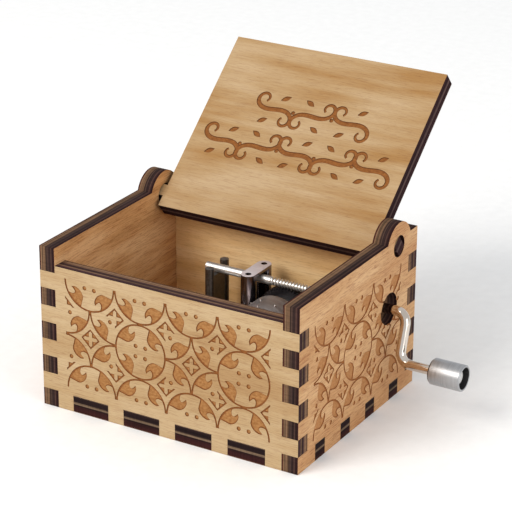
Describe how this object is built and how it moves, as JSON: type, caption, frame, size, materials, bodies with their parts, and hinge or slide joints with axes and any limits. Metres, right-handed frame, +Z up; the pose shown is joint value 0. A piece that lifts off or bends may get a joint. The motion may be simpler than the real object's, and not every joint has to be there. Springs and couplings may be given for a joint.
{
  "type": "hand-crank music box",
  "caption": "Small finger-jointed plywood box with a hinged lid, a pinned-drum comb movement inside and a bent wire crank with a round metal knob on one side.",
  "frame": {"origin": "centre of the base's underside, where the box stands", "axes": "+X to the side the crank is on, +Y to the back where the lid is hinged, +Z up"},
  "size_m": [0.084, 0.0768, 0.0651],
  "materials": {
    "plywood": "bare laser-cut plywood with an engraved pattern and burnt edges",
    "zinc": "die-cast zinc alloy",
    "gunmetal": "dark gunmetal plating",
    "steel": "ground steel",
    "nickel": "bright nickel plating",
    "chrome": "polished chrome plating",
    "brass": "turned brass",
    "black_plastic": "moulded acetal",
    "aluminium": "satin turned aluminium"
  },
  "bodies": {
    "case": {"front_panel": "plywood", "back_panel": "plywood", "left_panel": "plywood", "right_panel": "plywood", "base_panel": "plywood", "bedplate": "zinc", "comb": "steel", "comb_screw_1": "steel", "comb_screw_2": "steel", "comb_screw_3": "steel", "case_screw_1": "steel", "case_screw_2": "steel", "case_screw_3": "steel", "shaft_bracket": "nickel", "bracket_screw_front": "steel", "bracket_screw_back": "steel", "shaft_saddle": "gunmetal", "saddle_screw_front": "steel", "saddle_screw_back": "steel", "drum_front_post": "zinc", "front_post_screw": "steel", "drum_rear_post": "zinc", "rear_post_screw": "steel", "shaft_right_post": "zinc", "right_post_screw": "steel"},
    "lid": {"lid_panel": "plywood"},
    "crank": {"worm_shaft": "steel", "thrust_washer": "brass", "coupling_sleeve": "brass", "grub_screw": "steel", "crank_wire": "chrome", "knob_cap": "steel"},
    "knob": {"crank_knob": "aluminium"},
    "drum": {"drum_shell": "steel", "drum_cap": "black_plastic", "drum_gear": "black_plastic", "drum_arbor": "steel"}
  },
  "joints": [
    {"name": "lid_hinge", "type": "hinge", "parent": "case", "child": "lid", "pos_m": [0, 0.0174, 0.0358], "axis": [1, 0, 0], "range_deg": [0, 139.1]},
    {"name": "crank_spin", "type": "hinge", "parent": "case", "child": "crank", "pos_m": [0, 0.0135, 0.0225], "axis": [1, 0, 0], "continuous": true},
    {"name": "drum_spin", "type": "hinge", "parent": "case", "child": "drum", "pos_m": [0.007, 0, 0.01427], "axis": [0, 1, 0], "continuous": true},
    {"name": "knob_spin", "type": "hinge", "parent": "crank", "child": "knob", "pos_m": [0.044, 0.01031, 0.01208], "axis": [1, 0, 0], "continuous": true}
  ],
  "couplings": [
    {"joint": "drum_spin", "follows": "crank_spin", "ratio": -0.016667}
  ]
}
